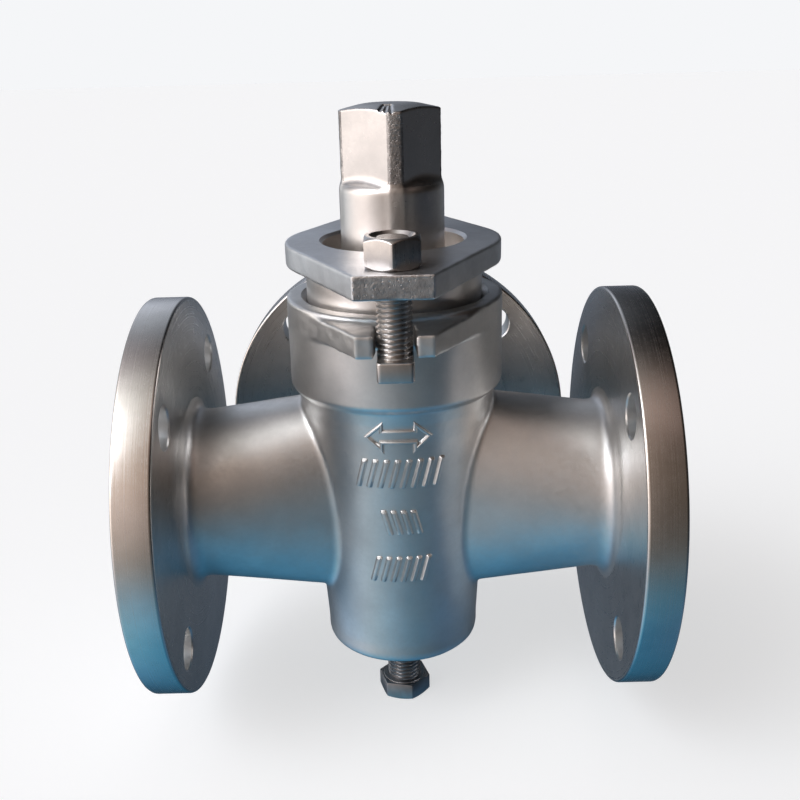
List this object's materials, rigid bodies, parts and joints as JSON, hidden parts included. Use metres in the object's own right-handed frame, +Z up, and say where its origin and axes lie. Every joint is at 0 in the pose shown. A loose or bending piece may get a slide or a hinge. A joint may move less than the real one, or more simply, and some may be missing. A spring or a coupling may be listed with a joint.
{
  "type": "plug valve",
  "caption": "Three-way flanged plug valve with a packed gland, a square operator head and a jack screw under the tapered plug.",
  "frame": {"origin": "the point where the centrelines of the straight run and the branch meet, on the stem axis", "axes": "+X along the straight run, +Y out of the branch, +Z up the stem towards the operator square"},
  "size_m": [0.22, 0.2, 0.2808],
  "materials": {
    "cast_body": "blasted cast stainless steel, satin",
    "cast_gland": "blasted cast stainless steel with machined faces",
    "turned_steel": "turned stainless steel",
    "packing": "braided graphite packing, matte",
    "fasteners": "rolled stainless steel, satin",
    "dark_fasteners": "dark oiled steel"
  },
  "bodies": {
    "valve_body": {"body": "cast_body", "gland_bolt_front": "fasteners", "gland_bolt_rear": "fasteners", "jack_lock_nut": "dark_fasteners", "packing_ring_1": "packing", "packing_ring_2": "packing", "packing_ring_3": "packing", "packing_ring_4": "packing"},
    "lift": {"thrust_pad": "turned_steel", "packing_seat_ring": "turned_steel"},
    "plug": {"plug": "turned_steel"},
    "jack": {"jack_screw": "dark_fasteners"},
    "gland": {"gland": "cast_gland"},
    "nut_front": {"gland_nut_front": "fasteners"},
    "nut_rear": {"gland_nut_rear": "fasteners"}
  },
  "joints": [
    {"name": "plug_lift", "type": "slide", "parent": "valve_body", "child": "lift", "axis": [0, 0, 1], "range_m": [0, 0.0015]},
    {"name": "plug_turn", "type": "hinge", "parent": "lift", "child": "plug", "pos_m": [0, 0, 0], "axis": [0, 0, 1], "continuous": true},
    {"name": "jack_turn", "type": "hinge", "parent": "lift", "child": "jack", "pos_m": [0, 0, -0.08], "axis": [0, 0, 1], "range_deg": [-1, 275]},
    {"name": "gland_slide", "type": "slide", "parent": "valve_body", "child": "gland", "axis": [0, 0, 1], "range_m": [-0.004, 0.003], "deforming": ["packing_ring_1", "packing_ring_2", "packing_ring_3", "packing_ring_4"]},
    {"name": "nut_front_turn", "type": "hinge", "parent": "gland", "child": "nut_front", "pos_m": [0, -0.058, 0.121], "axis": [0, 0, 1], "range_deg": [-725, 545]},
    {"name": "nut_rear_turn", "type": "hinge", "parent": "gland", "child": "nut_rear", "pos_m": [0, 0.058, 0.121], "axis": [0, 0, 1], "range_deg": [-725, 545]}
  ],
  "couplings": [
    {"joint": "jack_turn", "follows": "plug_lift", "rad_per_m": 3141.6},
    {"joint": "nut_front_turn", "follows": "gland_slide", "rad_per_m": 3141.6},
    {"joint": "nut_rear_turn", "follows": "gland_slide", "rad_per_m": 3141.6}
  ]
}
